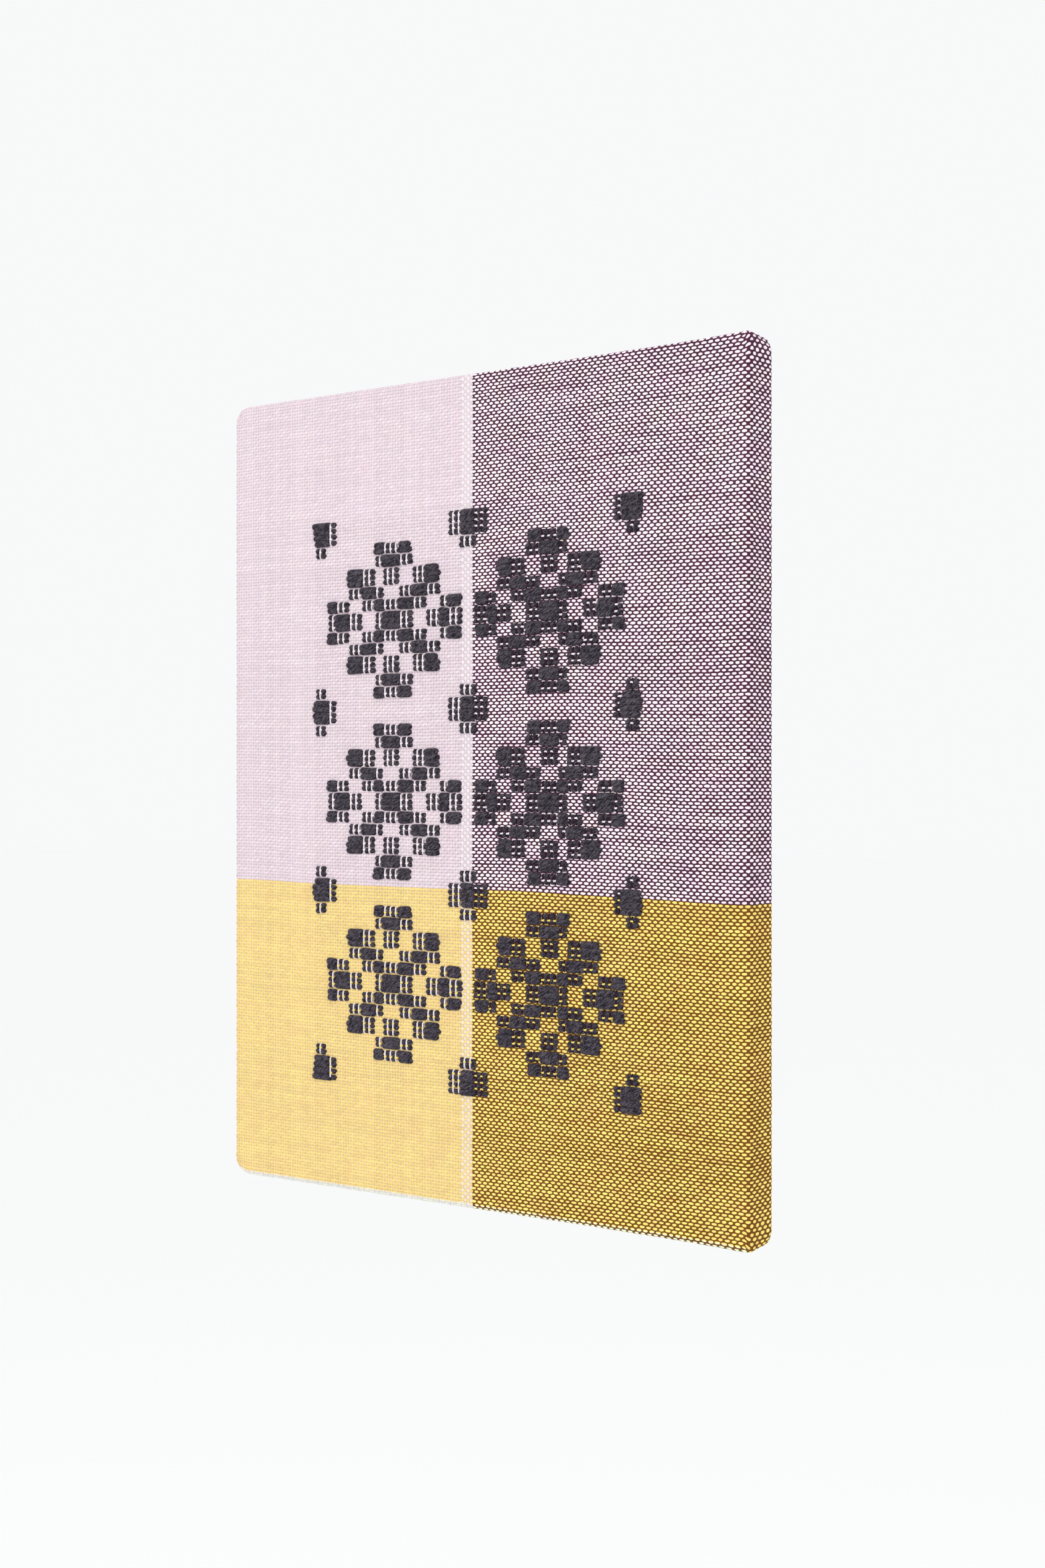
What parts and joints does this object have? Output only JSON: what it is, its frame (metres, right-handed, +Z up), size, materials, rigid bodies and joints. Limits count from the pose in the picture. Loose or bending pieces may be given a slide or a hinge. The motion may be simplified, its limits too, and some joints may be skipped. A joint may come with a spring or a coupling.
{
  "type": "woven wall hanging on a stretcher frame",
  "caption": "Handwoven panel stretched over a thin wooden frame, with a raised pattern weft on its face, hung flat against a wall.",
  "frame": {"origin": "on the wall's plane, in the middle of the cloth turned over the top bar's back", "axes": "+Z up, the woven face looks along -Y, and the wall is behind the plane y = 0"},
  "size_m": [0.2826, 0.0199, 0.3588],
  "materials": {
    "cloth": "handwoven cotton and wool, matt",
    "pine": "planed, unfinished"
  },
  "bodies": {
    "root": {"woven_cloth": "cloth", "top_bar": "pine", "bottom_bar": "pine", "left_bar": "pine", "right_bar": "pine"}
  },
  "joints": []
}
